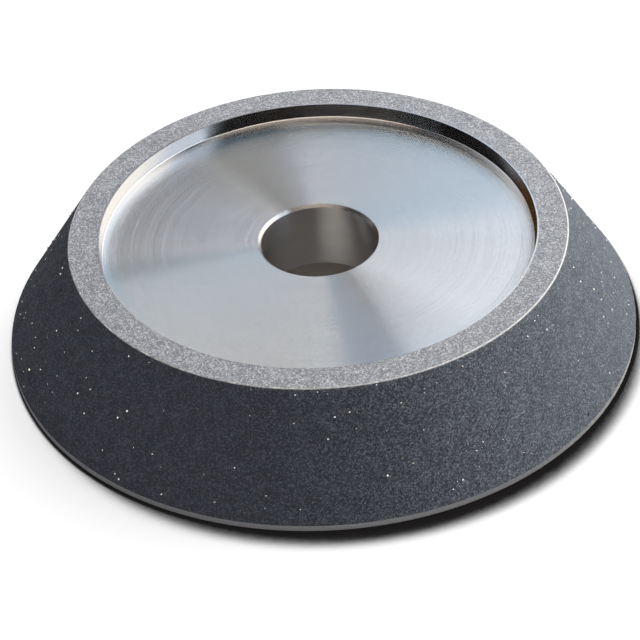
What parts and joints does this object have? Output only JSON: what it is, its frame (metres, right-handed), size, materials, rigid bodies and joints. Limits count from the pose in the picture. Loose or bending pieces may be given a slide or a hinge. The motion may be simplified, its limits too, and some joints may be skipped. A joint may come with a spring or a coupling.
{
  "type": "grinding wheel",
  "caption": "Bevelled grinding wheel: a turned steel core with a plain bore and recessed faces, and a bonded abrasive rim with a conical working side.",
  "frame": {"origin": "centre of the wheel on the plane of its back ring, which it lies on", "axes": "+Z along the wheel's axis, from the wide back to the narrow front face; the wheel is round, so +X and +Y are any two directions across it"},
  "size_m": [0.11, 0.11, 0.02],
  "materials": {
    "turned_steel": "bright turned steel with fine concentric tool lines",
    "bonded_abrasive": "dark grey bonded diamond grit, matt with sparkling grains"
  },
  "bodies": {
    "root": {"steel_core": "turned_steel", "abrasive_rim": "bonded_abrasive"}
  },
  "joints": []
}
